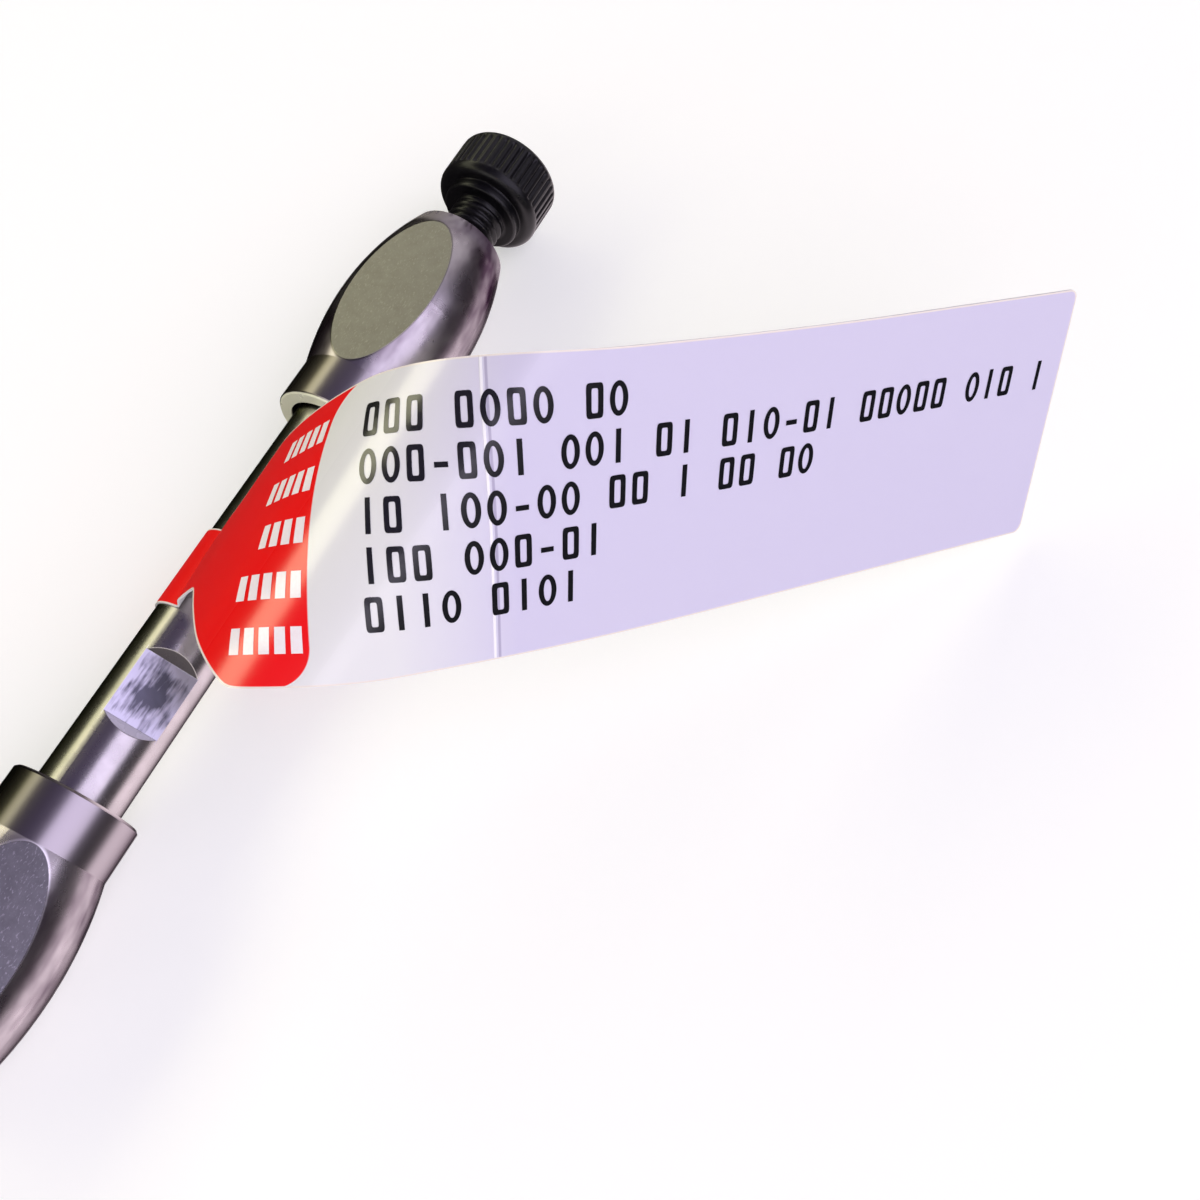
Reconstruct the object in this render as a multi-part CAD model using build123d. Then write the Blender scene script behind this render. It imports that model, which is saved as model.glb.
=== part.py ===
"""A short packed column for liquid chromatography, lying on a bench.

Millimetres. The column lies along +X, from the open outlet port (the origin, at the
port's mouth) to the plugged inlet. +Z is up. The inlet fitting lies on its wrench flat.
"""
from build123d import *
import math
import os

# ---- driving dimensions -------------------------------------------------------------

# column tube
tube_d = 6.35              # 1/4 inch tube
bore_d = 2.1               # packed bore
tube_len = 50.0            # packed length
tube_edge = 0.2            # chamfer on the tube's two ends
tube_flat_af = 4.8         # across the tube's two spanner flats
tube_flat_len = 5.1        # length of the level part of each flat
tube_flat_angle = 45.0     # slope of the milled shoulders at the flats' ends
tube_flat_from = 5.7       # from the outlet fitting's mouth to the flat
tube_flat_turn = 33.0      # turn of the flats from +Z towards -Y

# end fittings, turned from bar
collar_d = 9.45            # plain collar at the fitting's mouth
collar_len = 4.0
collar_edge = 0.2          # chamfer at the collar's mouth
barrel_len = 17.6          # swollen grip behind the collar
barrel_max_d = 11.8        # largest diameter of the swell
barrel_max_at = 7.8        # from the collar to the largest diameter
nose_d = 8.1               # where the swell meets the port face
nose_edge = 0.35           # chamfer round the port face
flat_af = 9.525            # across the two wrench flats, 3/8 inch
inlet_flat_turn = 0.0      # turn of each fitting's flats from +Z towards -Y
outlet_flat_turn = 23.5
socket_len = 8.2           # tube held inside the fitting
socket_gap = 0.02          # radial gap standing in for the closed thread
mouth_d = 7.1              # relief round the tube at the mouth
mouth_len = 1.1
passage_d = 0.5            # fluid passage through the web
web_len = 1.2
pocket_d = 1.65            # pocket for the end of a 1/16 inch capillary
pocket_len = 2.0
cone_len = 1.6             # ferrule cone
port_edge = 0.3            # countersink at the port's mouth

# 10-32 thread of the ports and of the plug, modelled as plain cylinders
thread_d = 4.8             # outside diameter of the male thread
thread_gap = 0.06          # radial running clearance in the port

# frits
frit_d = 3.2               # porous disc
frit_ring_d = 6.2          # seal ring round the disc
frit_len = 1.6
fit_gap = 0.01             # between sealed inner pieces

# inlet plug
plug_head_d = 9.4
plug_head_len = 5.0
plug_edge = 0.45           # chamfer on the knurled head's two rims
plug_lift = 4.6            # fitting's port face to the head's underside
boss_d = 7.0               # step under the head
boss_len = 0.9
boss_edge = 0.25           # chamfer on the step
plug_in_port = 5.8         # thread inside the port
plug_tip_len = 1.0         # tapered end of the thread
plug_tip_d = 3.6
knurl_count = 40
knurl_depth = 0.22
knurl_width = 0.34         # width of one groove at the head's surface
knurl_run_out = 0.8        # plain margin at the head's underside

# label: a die-cut film with a narrow tail glued round the tube
film_t = 0.15
flag_h = 19.3              # width of the flag
flag_len = 62.0            # length of the flag at its full width
tab_len = 5.8              # coloured tab at the flag's left end; the flat film's origin is its edge
shoulder_low = (8.0, 8.3)  # lower shoulder, along and across the flag
shoulder_high = (4.6, 4.2)  # upper shoulder
tail_free = 5.4            # tail between the shoulders and the tube
tail_wrap = 318.0          # angle that the tail covers round the tube
glue_gap = 0.02            # between the tube and the film
tail_from = 14.4           # from the outlet fitting's mouth to the tail
root_turn = 12.0           # turn from +Z towards +Y of the crease where the tail leaves the tube
root_crease = 1.6          # length of film that the crease takes up
bend_azimuth = -17.4       # direction of the flag's bend lines, in space
bend_elevation = 27.4
bend_skew = 38.6           # the same bend lines on the flat film, from square across
bend_start = (43.7, 1.7, 1.55)  # point of the first bend line in the flag's own profile
bend_from = -26.0          # the film's profile starts here, counted from the flag's origin
rise_angle = 59.4          # slope of the film where it leaves the tube
film_arcs = ((16.0, 35.0), (14.0, 9.3), (16.0, 100.0))  # (length, radius) of each bend
bend_step = 1.4            # spacing of the bend lines along the flag's low edge
root_step = 0.4            # spacing where the tail leaves the tube
wrap_step = 0.7            # spacing round the tube
corner_cut = 0.5           # blunt corner at the flag's free end

os.makedirs("parts", exist_ok=True)

# ---- places that follow from the sizes ----------------------------------------------

tube_r = tube_d / 2
fitting_len = collar_len + barrel_len
tube_start = fitting_len - socket_len
tube_end = tube_start + tube_len
inlet_mouth = tube_end - socket_len
inlet_face = inlet_mouth + fitting_len
outlet_mouth = fitting_len
port_d = thread_d + 2 * thread_gap
port_len = fitting_len - socket_len - frit_len - web_len - pocket_len - cone_len
clear_cut = 1.0            # how far a cutter stands past the metal that it cuts


def turned(points):
    """Solid of revolution about X from half-section points (x, radius)."""
    section = make_face(Polyline(*[(x, 0, r) for x, r in points], close=True))
    return revolve(section, Axis.X, 360)


def rod(d, x0, x1):
    """Plain cylinder along X."""
    return Pos((x0 + x1) / 2, 0, 0) * Rot(0, 90, 0) * Cylinder(d / 2, x1 - x0)


def rims_at(solid, x):
    """Circular edges of a turned piece at the station x."""
    return [e for e in solid.edges().filter_by(GeomType.CIRCLE) if abs(e.center().X - x) < 1e-6]


def cut_flats(solid, across, x0, x1, turn, reach, slope=90.0):
    """Mill two opposite flats with sloping ends, then turn them about X."""
    run = (reach - across / 2) / math.tan(math.radians(slope))
    profile = make_face(Polyline((x0, 0, across / 2), (x1, 0, across / 2), (x1 + run, 0, reach),
                                 (x0 - run, 0, reach), close=True))
    cutter = extrude(profile, amount=reach, both=True)
    pair = cutter + Rot(180, 0, 0) * cutter
    return solid - Rot(turn, 0, 0) * pair


# ---- column tube --------------------------------------------------------------------

def column_tube():
    """Steel tube with a packed bore and two spanner flats near the outlet."""
    blank = turned([(tube_start, bore_d / 2), (tube_start, tube_r - tube_edge),
                    (tube_start + tube_edge, tube_r), (tube_end - tube_edge, tube_r),
                    (tube_end, tube_r - tube_edge), (tube_end, bore_d / 2)])
    flat_start = outlet_mouth + tube_flat_from
    return cut_flats(blank, tube_flat_af, flat_start, flat_start + tube_flat_len,
                     tube_flat_turn, tube_r + clear_cut, tube_flat_angle)


def packed_bed():
    """Bed of packed particles that fills the bore between the two frits."""
    return rod(bore_d - 2 * fit_gap, tube_start, tube_end)


# ---- end fittings -------------------------------------------------------------------

def end_fitting(turn):
    """Fitting with its port face at x = 0 and its mouth, where the tube enters, towards +X."""
    collar_r = collar_d / 2
    nose_r = nose_d / 2
    widest = (barrel_len - barrel_max_at, 0, barrel_max_d / 2)
    swell = (TangentArc(widest, (0, 0, nose_r), tangent=(-1, 0, 0))
             + TangentArc(widest, (barrel_len, 0, collar_r), tangent=(1, 0, 0)))
    outline = Polyline((barrel_len, 0, collar_r), (fitting_len, 0, collar_r), (fitting_len, 0, 0),
                       (0, 0, 0), (0, 0, nose_r))
    quarter = revolve(make_face(swell + outline), Axis.X, 90)   # four quarters take few facets
    body = quarter + [Rot(90 * i, 0, 0) * quarter for i in (1, 2, 3)]
    body = chamfer(rims_at(body, 0), nose_edge)
    body = chamfer(rims_at(body, fitting_len), collar_edge)
    body = cut_flats(body, flat_af, 0, barrel_len, turn, barrel_max_d / 2 + clear_cut)

    port_end = port_len
    cone_end = port_end + cone_len
    pocket_end = cone_end + pocket_len
    seat = pocket_end + web_len
    socket_r = tube_r + socket_gap
    mouth_start = fitting_len - mouth_len
    hollow = turned([(0, 0), (0, port_d / 2 + port_edge), (port_edge, port_d / 2),
                     (port_end, port_d / 2), (cone_end, pocket_d / 2), (pocket_end, pocket_d / 2),
                     (pocket_end, passage_d / 2), (seat, passage_d / 2), (seat, socket_r),
                     (mouth_start, socket_r), (mouth_start, mouth_d / 2),
                     (fitting_len, mouth_d / 2), (fitting_len, 0)])
    return body - hollow


def at_inlet(solid):
    """Turn a piece made at the outlet round to the inlet end."""
    return Pos(inlet_face, 0, 0) * Rot(0, 0, 180) * solid


def frit():
    """Porous steel disc between the bed and the web."""
    seat = tube_start - frit_len
    return rod(frit_d, seat + fit_gap, tube_start - fit_gap)


def frit_ring():
    """Seal ring that holds the porous disc."""
    seat = tube_start - frit_len
    inner = frit_d / 2 + fit_gap
    return turned([(seat + fit_gap, inner), (seat + fit_gap, frit_ring_d / 2),
                   (tube_start - fit_gap, frit_ring_d / 2), (tube_start - fit_gap, inner)])


# ---- inlet plug ---------------------------------------------------------------------

def inlet_plug():
    """Knurled plug in the inlet port, with its head standing clear of the port face."""
    under = inlet_face + plug_lift
    top = under + plug_head_len
    tip = inlet_face - plug_in_port
    thread_r = thread_d / 2
    head = chamfer(rod(plug_head_d, under, top).edges().filter_by(GeomType.CIRCLE), plug_edge)
    groove_x0 = under + knurl_run_out
    groove = Pos((groove_x0 + top) / 2, 0, plug_head_d / 2) * Box(
        top - groove_x0, knurl_width, 2 * knurl_depth)
    head -= [Rot(360 * i / knurl_count, 0, 0) * groove for i in range(knurl_count)]
    boss = rod(boss_d, under - boss_len, under)
    boss = chamfer(rims_at(boss, under - boss_len), boss_edge)
    stem = turned([(tip, 0), (tip, plug_tip_d / 2), (tip + plug_tip_len, thread_r),
                   (under, thread_r), (under, 0)])
    return head + boss + stem


# ---- label --------------------------------------------------------------------------

film_r = tube_r + glue_gap + film_t / 2      # middle of the film round the tube
flag_left = -tab_len
neck = flag_left - shoulder_low[0]           # where the shoulders meet the tail
root = neck - tail_free                      # where the tail leaves the tube
tail_end = root - math.radians(tail_wrap) * film_r
flag_right = flag_left + flag_len
low_edge = [(tail_end, shoulder_low[1]), (neck, shoulder_low[1]), (flag_left, 0), (flag_right, 0)]
high_edge = [(tail_end, flag_h - shoulder_high[1]), (neck, flag_h - shoulder_high[1]),
             (neck + shoulder_high[0], flag_h), (flag_right, flag_h)]

bend_line = Vector(1, 0, 0).rotate(Axis.Y, -bend_elevation).rotate(Axis.Z, bend_azimuth)
across = bend_line.cross(Vector(0, 0, 1)).normalized()
raised = across.cross(bend_line)


def bend_profile(s):
    """Walk the flag's profile: a chain of tangent arcs, then a flat run."""
    u = v = 0.0
    slope = math.radians(rise_angle)
    left = s - bend_from
    for length, radius in film_arcs:
        turn = min(left, length) / radius
        u += radius * (math.sin(slope) - math.sin(slope - turn))
        v += radius * (math.cos(slope - turn) - math.cos(slope))
        slope -= turn
        left -= min(left, length)
    return u + left * math.cos(slope), v + left * math.sin(slope)


def on_flag(x, y):
    """Point of the bent flag for the point (x, y) of the flat film."""
    skew = math.radians(bend_skew)
    u, v = bend_profile(x * math.cos(skew) - y * math.sin(skew))
    along = x * math.sin(skew) + y * math.cos(skew)
    return Vector(*bend_start) + across * u + raised * v + bend_line * along


def on_tube(x, y):
    """Point of the tail's cylinder for the point (x, y) of the flat film."""
    angle = math.radians(root_turn) + (root - x) / film_r
    station = outlet_mouth + tail_from + y - shoulder_low[1]
    return Vector(station, film_r * math.sin(angle), film_r * math.cos(angle))


def on_film(x, y):
    """Tail on the tube, flag in the air, and a smooth step from one to the other."""
    share = min(max((x - root) / root_crease, 0), 1)
    share = share * share * (3 - 2 * share)
    if share == 0:
        return on_tube(x, y)
    return on_tube(x, y) * (1 - share) + on_flag(x, y) * share


def crossing(x, y, angle):
    """Where the bend line from (x, y) leaves the flat film, at this angle from straight across."""
    run, rise = math.sin(angle), math.cos(angle)
    border = high_edge + [(flag_right, 0)]
    for (x0, y0), (x1, y1) in zip(border, border[1:]):
        side = run * (y1 - y0) - rise * (x1 - x0)
        if abs(side) < 1e-9:
            continue
        share = (rise * (x0 - x) - run * (y0 - y)) / side
        if -1e-9 <= share <= 1 + 1e-9:
            return x0 + (x1 - x0) * share, y0 + (y1 - y0) * share


def steps(start, end, size):
    """Even steps of about this size, without the last one."""
    count = max(1, round((end - start) / size))
    return [start + (end - start) * i / count for i in range(count)]


def bend_lines():
    """Pairs of flat points, low edge and high edge, from the tail's end to the flag's corner."""
    tail_y = shoulder_low[1]
    skew = math.radians(bend_skew)
    pairs = [(x, tail_y, 0.0) for x in steps(tail_end, root, wrap_step)]
    pairs += [(x, tail_y, skew * (x - root) / tail_free) for x in steps(root, neck, root_step)]
    shoulder = [(neck + (flag_left - neck) * i, tail_y * (1 - i), skew)
                for i in steps(0, 1, bend_step / math.hypot(*shoulder_low))]
    corner_line = flag_right - flag_h * math.tan(skew)
    flag = [(x, 0.0, skew) for x in steps(flag_left, corner_line, bend_step)]
    end = [(x, 0.0, skew) for x in (corner_line, flag_right - corner_cut)]
    return [((x, y), crossing(x, y, angle)) for x, y, angle in pairs + shoulder + flag + end]


def face_normal(x, y):
    """Outward direction of the printed side at a point of the flat film."""
    h = 0.01
    along = on_film(x + h, y) - on_film(x - h, y)
    across_film = on_film(x, y + h) - on_film(x, y - h)
    return along.cross(across_film).normalized()


def label():
    """Film of even thickness, straight along each bend line."""
    sections = []
    for low, high in bend_lines():
        half = (face_normal(*low) + face_normal(*high)).normalized() * (film_t / 2)
        a, b = on_film(*low), on_film(*high)
        sections.append(Wire.make_polygon([a + half, b + half, b - half, a - half]))
    return Solid.make_loft(sections, ruled=True)


# ---- the pieces ---------------------------------------------------------------------

pieces = {
    "column_tube": column_tube(),
    "packed_bed": packed_bed(),
    "outlet_end_fitting": end_fitting(outlet_flat_turn),
    "inlet_end_fitting": at_inlet(end_fitting(-inlet_flat_turn)),
    "outlet_frit": frit(),
    "inlet_frit": at_inlet(frit()),
    "outlet_frit_ring": frit_ring(),
    "inlet_frit_ring": at_inlet(frit_ring()),
    "inlet_plug": inlet_plug(),
    "label": label(),
}
for name, piece in pieces.items():
    export_step(piece, "parts/" + name + ".step")
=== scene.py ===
import math

import bmesh
import bpy
import numpy as np
from mathutils import Matrix, Vector


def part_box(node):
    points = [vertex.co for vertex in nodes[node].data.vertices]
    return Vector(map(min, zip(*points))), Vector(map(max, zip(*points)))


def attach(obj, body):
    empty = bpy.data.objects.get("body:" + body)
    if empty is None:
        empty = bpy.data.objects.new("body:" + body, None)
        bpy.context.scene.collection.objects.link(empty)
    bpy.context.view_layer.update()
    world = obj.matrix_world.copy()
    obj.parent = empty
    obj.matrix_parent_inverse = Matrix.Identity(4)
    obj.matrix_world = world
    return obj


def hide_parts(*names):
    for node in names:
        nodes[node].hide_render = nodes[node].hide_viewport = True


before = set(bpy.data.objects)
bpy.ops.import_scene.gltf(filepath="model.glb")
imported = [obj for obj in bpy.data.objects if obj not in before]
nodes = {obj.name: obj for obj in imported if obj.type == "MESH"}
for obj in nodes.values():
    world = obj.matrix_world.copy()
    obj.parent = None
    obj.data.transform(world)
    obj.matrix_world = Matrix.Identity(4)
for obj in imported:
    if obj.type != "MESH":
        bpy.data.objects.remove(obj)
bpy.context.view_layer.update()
mm = 0.001


# --- helpers: colours, nodes, meshes

def linear(hexColour):
    # sRGB hex to linear light, one channel after the other
    shares = [int(hexColour[i:i + 2], 16) / 255 for i in (1, 3, 5)]
    return tuple(c / 12.92 if c <= 0.04045 else ((c + 0.055) / 1.055) ** 2.4 for c in shares) + (1.0,)


def addNode(tree, kind, settings=None, links=None):
    # one node: settings name its own fields or its inputs, links name the inputs that are fed
    node = tree.nodes.new(kind)
    for key, value in (settings or {}).items():
        if isinstance(key, str) and hasattr(node, key):
            setattr(node, key, value)
        else:
            node.inputs[key].default_value = value
    for key, source in (links or {}).items():
        tree.links.new(source, node.inputs[key])
    return node


def startMaterial(name, shaderSettings):
    material = bpy.data.materials.new(name)
    material.use_nodes = True
    tree = material.node_tree
    tree.nodes.clear()
    shader = addNode(tree, "ShaderNodeBsdfPrincipled", shaderSettings)
    addNode(tree, "ShaderNodeOutputMaterial", links={"Surface": shader.outputs[0]})
    return material, tree, shader


def feed(tree, shader, sources):
    # links each named input of the shader to its source
    for name, source in sources.items():
        tree.links.new(source, shader.inputs[name])


def numbersAndSockets(values):
    # splits numbered values into numbers to set and sockets to link
    settings, links = {}, {}
    for number, value in values.items():
        (links if isinstance(value, bpy.types.NodeSocket) else settings)[number] = value
    return settings, links


def calc(tree, kind, *values):
    # one Math node over numbers and sockets
    settings, links = numbersAndSockets(dict(enumerate(values)))
    return addNode(tree, "ShaderNodeMath", {"operation": kind} | settings, links).outputs[0]


def ramp(tree, value, low, high, first=0.0, last=1.0, kind="LINEAR"):
    # first where the value is at low, last where it is at high, and held beyond both
    return addNode(tree, "ShaderNodeMapRange", {"interpolation_type": kind, 1: low, 2: high,
                                                3: first, 4: last}, {0: value}).outputs[0]


def between(tree, value, low, high, soft=0.05):
    # 1 where a coordinate lies between two places in millimetres, with soft ends
    rise = ramp(tree, value, (low - soft) * mm, (low + soft) * mm)
    fall = ramp(tree, value, (high - soft) * mm, (high + soft) * mm, 1.0, 0.0)
    return calc(tree, "MULTIPLY", rise, fall)


def mixNumber(tree, share, first, second):
    # first where share is 0, second where it is 1
    settings, links = numbersAndSockets({0: share, 2: first, 3: second})
    return addNode(tree, "ShaderNodeMix", settings, links).outputs[0]


def mixNormal(tree, share, first, second):
    return addNode(tree, "ShaderNodeMix", {"data_type": "VECTOR"},
                   {0: share, 4: first, 5: second}).outputs[1]


def mixColour(tree, share, first, second):
    # first where share is 0, second where it is 1; each a hex colour or another node's output
    first, second = (linear(colour) if isinstance(colour, str) else colour for colour in (first, second))
    settings, links = numbersAndSockets({0: share, 6: first, 7: second})
    return addNode(tree, "ShaderNodeMix", {"data_type": "RGBA"} | settings, links).outputs[2]


def objectCoordinates(tree):
    return addNode(tree, "ShaderNodeTexCoord").outputs["Object"]


def axisOf(tree, vector, axis):
    return addNode(tree, "ShaderNodeSeparateXYZ", links={0: vector}).outputs[axis]


def lengthOf(tree, vector):
    return addNode(tree, "ShaderNodeVectorMath", {"operation": "LENGTH"}, {0: vector}).outputs["Value"]


def mapped(tree, vector, settings):
    return addNode(tree, "ShaderNodeMapping", settings, {"Vector": vector}).outputs[0]


def noise(tree, place, size, detail=2.0, roughness=0.5):
    # smooth noise whose largest features are about size millimetres
    return addNode(tree, "ShaderNodeTexNoise", {"Scale": 1 / (size * mm), "Detail": detail,
                                                "Roughness": roughness}, {"Vector": place}).outputs["Fac"]


def bumpNormal(tree, height, strength, depth):
    # the depth is in millimetres
    return addNode(tree, "ShaderNodeBump", {"Strength": strength, "Distance": depth * mm},
                   {"Height": height}).outputs[0]


def gridQuads(rows, columns, wrapColumns=False, start=0):
    # quads of a grid stored row after row; wrapColumns joins the last column to the first
    across = columns if wrapColumns else columns - 1
    r, c = np.meshgrid(np.arange(rows - 1), np.arange(across), indexing="ij")
    right = (c + 1) % columns
    quads = np.stack([r * columns + c, (r + 1) * columns + c,
                      (r + 1) * columns + right, r * columns + right], -1)
    return quads.reshape(-1, 4) + start


def meshPiece(name, points, faces, materials, body, materialIndex=None, smooth=True):
    # faces is an integer array, one row of corners for each face
    mesh = bpy.data.meshes.new(name)
    mesh.vertices.add(len(points))
    mesh.vertices.foreach_set("co", np.asarray(points, np.float32).ravel())
    sides = faces.shape[1]
    mesh.loops.add(faces.size)
    mesh.loops.foreach_set("vertex_index", faces.astype(np.int32).ravel())
    mesh.polygons.add(len(faces))
    mesh.polygons.foreach_set("loop_start", np.arange(0, faces.size, sides, dtype=np.int32))
    if materialIndex is not None:
        mesh.polygons.foreach_set("material_index", materialIndex.astype(np.int32))
    mesh.polygons.foreach_set("use_smooth", np.full(len(faces), smooth))
    mesh.update(calc_edges=True)
    mesh.validate()
    for material in materials:
        mesh.materials.append(material)
    piece = bpy.data.objects.new(name, mesh)
    bpy.context.collection.objects.link(piece)
    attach(piece, body)
    return piece


def dress(nodeName, material):
    # a carried-over CAD node keeps its mesh and gets its finish
    node = nodes[nodeName]
    node.data.materials.clear()
    node.data.materials.append(material)


# --- camera: a short working distance above the column's outlet half, its place in millimetres

camera = {"place": (13.833, -48.295, 80.377), "look": (0.40189, 0.24213, -0.88309),
          "up": (0.80700, 0.36206, 0.46653), "lens": 37.22, "sensor": 36.0, "near": 0.002, "far": 10}


def addCamera():
    data = bpy.data.cameras.new("camera")
    data.lens, data.sensor_width, data.sensor_fit = camera["lens"], camera["sensor"], "AUTO"
    data.clip_start, data.clip_end = camera["near"], camera["far"]
    back = -Vector(camera["look"]).normalized()
    right = Vector(camera["up"]).cross(back).normalized()
    turn = Matrix((right, back.cross(right), back)).transposed()
    made = bpy.data.objects.new("camera", data)
    made.matrix_world = Matrix.Translation(Vector(camera["place"]) * mm) @ turn.to_4x4()
    bpy.context.collection.objects.link(made)
    bpy.context.scene.camera = made


# --- stage: white bench, two long soft boxes beside the column, two short ones at its ends, a dim room

stage = {"floorColour": "#fbfcf2", "hubRadius": 0.001, "floorRadius": 3.5, "coveRadius": 1.0,
         "coveSteps": 9, "wallTop": 3.2, "sides": 64, "roomColour": "#c3aef0", "roomLevel": 0.15,
         "aim": (0.045, -0.012, 0.004), "seenWhite": "#fcfdff", "seenShare": 0.3, "seenLevel": 1.42,
         "mirroredWhite": "#fff0f7", "poolCentre": -11.5, "poolInside": 4.0, "poolOutside": 15.0,
         "poolNear": 1.7, "poolFar": 0.05}
softBoxes = {  # turn from +X and height over the bench in degrees, then metres; the length is level
    "keyBox": {"turn": -90, "height": 46, "distance": 1.3, "length": 2.8, "width": 1.2, "shift": -0.5,
               "radiance": 2.0, "colour": "#efe7ff"},
    "fillBox": {"turn": 90, "height": 38, "distance": 1.3, "length": 2.6, "width": 0.44, "shift": 0.0,
                "radiance": 2.8, "colour": "#fbf9d2"},
    "plugBox": {"turn": 0, "height": 30, "distance": 1.3, "length": 1.5, "width": 1.0, "shift": 0.0,
                "radiance": 0.8, "colour": "#f6f0f6"},
    "tabBox": {"turn": 180, "height": 20, "distance": 1.3, "length": 1.3, "width": 0.8, "shift": 0.0,
               "radiance": 1.6, "colour": "#fffaf4"},
}


def benchMaterial():
    # white laminate that keeps the shadows; seen directly it is lifted to white, and metal mirrors it
    # as a painted strip of light beside the column that fades outwards: a painted reflection
    material, tree, shader = startMaterial("white_laminate_bench", {
        "Base Color": linear(stage["floorColour"]), "Roughness": 0.9, "Specular IOR Level": 0.0})
    rays = addNode(tree, "ShaderNodeLightPath").outputs
    seen = rays["Is Camera Ray"]
    mirrored = calc(tree, "MAXIMUM", rays["Is Glossy Ray"], rays["Is Transmission Ray"])
    # painted light: in reflections only, the bench glows in a strip beside the column that fades outwards
    aside = axisOf(tree, objectCoordinates(tree), "Y")
    away = calc(tree, "ABSOLUTE", calc(tree, "SUBTRACT", aside, stage["poolCentre"] * mm))
    paintedLightPool = ramp(tree, away, stage["poolInside"] * mm, stage["poolOutside"] * mm, stage["poolNear"],
                stage["poolFar"], "SMOOTHSTEP")
    level = calc(tree, "MULTIPLY_ADD", seen, stage["seenLevel"], calc(tree, "MULTIPLY", mirrored, paintedLightPool))
    share = calc(tree, "MULTIPLY_ADD", seen, stage["seenShare"], mirrored)
    white = mixColour(tree, mirrored, stage["seenWhite"], stage["mirroredWhite"])
    glow = addNode(tree, "ShaderNodeEmission", links={"Color": white, "Strength": level})
    mixed = addNode(tree, "ShaderNodeMixShader", links={0: share, 1: shader.outputs[0],
                                                        2: glow.outputs[0]})
    output = next(node for node in tree.nodes if node.type == "OUTPUT_MATERIAL")
    tree.links.new(mixed.outputs[0], output.inputs["Surface"])
    return material


def addStage():
    low = min(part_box(name)[0].z for name in ("outlet_end_fitting", "inlet_end_fitting", "label"))
    # a round floor whose rim curves up into a plain wall: a profile turned about the upright axis
    bend = np.radians(np.linspace(0, 90, stage["coveSteps"]))
    cove, sides = stage["coveRadius"], stage["sides"]
    radius = np.concatenate([[stage["hubRadius"]], stage["floorRadius"] + cove * np.sin(bend),
                             [stage["floorRadius"] + cove]])
    height = np.concatenate([[0], cove * (1 - np.cos(bend)), [stage["wallTop"]]]) + low
    turn = np.arange(sides) * 2 * np.pi / sides
    points = np.stack([radius[:, None] * np.cos(turn), radius[:, None] * np.sin(turn),
                       height[:, None] + 0 * turn], -1).reshape(-1, 3)
    quads = gridQuads(len(radius), sides, wrapColumns=True)
    mesh = bpy.data.meshes.new("bench_floor")
    mesh.from_pydata(points.tolist(), [], quads.tolist() + [list(range(sides))])
    mesh.materials.append(benchMaterial())
    floor = bpy.data.objects.new("bench_floor", mesh)
    bpy.context.collection.objects.link(floor)
    world = bpy.data.worlds.new("dim_room")
    world.use_nodes = True
    background = world.node_tree.nodes["Background"]
    background.inputs["Color"].default_value = linear(stage["roomColour"])
    background.inputs["Strength"].default_value = stage["roomLevel"]
    bpy.context.scene.world = world


def addSoftBoxes():
    for name, box in softBoxes.items():
        data = bpy.data.lights.new(name, "AREA")
        data.shape, data.size, data.size_y = "RECTANGLE", box["length"], box["width"]
        data.color = linear(box["colour"])[:3]
        data.energy = box["radiance"] * math.pi * box["length"] * box["width"]
        turn, rise = math.radians(box["turn"]), math.radians(box["height"])
        away = Vector((math.cos(turn) * math.cos(rise), math.sin(turn) * math.cos(rise), math.sin(rise)))
        level = Vector((-math.sin(turn), math.cos(turn), 0))
        lamp = bpy.data.objects.new(name, data)
        lamp.location = Vector(stage["aim"]) + away * box["distance"] + Vector((box["shift"], 0, 0))
        lamp.rotation_mode = "QUATERNION"
        lamp.rotation_quaternion = Matrix((level, away.cross(level), away)).transposed().to_quaternion()
        bpy.context.collection.objects.link(lamp)


# --- steel of the fittings and the tube: places along the column and lengths in millimetres; the rim
# tint keeps the steel dark where it is seen at a grazing angle

def turningBump(tree, place, spec):
    # rings left by the lathe: noise that changes fast along the axis and hardly round it; real ones
    # are about 0.05 mm apart, and these are drawn coarser so that they show
    across = spec["ridgeAcross"]
    stretched = mapped(tree, place, {"Scale": (1 / (spec["ridge"] * mm), across, across)})
    rings = addNode(tree, "ShaderNodeTexNoise", {"Scale": 1.0, "Detail": 3.0, "Roughness": 0.6},
                    {"Vector": stretched}).outputs["Fac"]
    return bumpNormal(tree, rings, spec["ridgeStrength"], spec["ridgeDepth"])


fittingSteel = {"bright": "#c3bcc0", "dull": "#a09a9f", "soilSize": 2.0, "roughness": (0.23, 0.33),
                "rimTint": "#141418", "stain": "#675a66", "stainSize": 3.2, "stainRange": (0.44, 0.66),
                "stretch": 0.4, "ridge": 0.11, "ridgeAcross": 60, "ridgeStrength": 0.35,
                "ridgeDepth": 0.004, "flatHeight": 4.7625, "flatSlack": 0.014, "flatSoft": 0.006,
                "outside": 9.0, "edgeWidth": 0.06, "edgeSoft": 0.03, "mottle": 0.9, "speckSize": 0.11,
                "speckRange": (0.58, 0.7), "scratchSize": 0.12, "scratchDepth": 0.004,
                "collarTone": "#a49da2", "collarRoughness": 0.28, "farShadeRange": (-1.2, 1.4),
                "faceDepth": 0.12, "faceSoft": 0.02, "noseRoughness": 0.55, "noseSoft": 0.4}
outletEnd = {"turn": 23.5, "light": "#8f8d92", "dark": "#67656a", "speck": "#a8a5ab",
             # the edge colour is a painted highlight line round the flats
             "roughness": 0.33, "edge": "#f2ecf6",
             # the face colour is drawn lighter than the collar: a painted reflection on its end face
             "collar": (17.6, 21.6), "face": 21.6, "paintedFaceLight": "#b8b2b4", "faceMetal": 1.0,
             # the last colour is painted shade for the collar's far side
             "nose": (-0.2, 0.9), "scratch": 0.9, "farShade": "#5b5850"}
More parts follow.
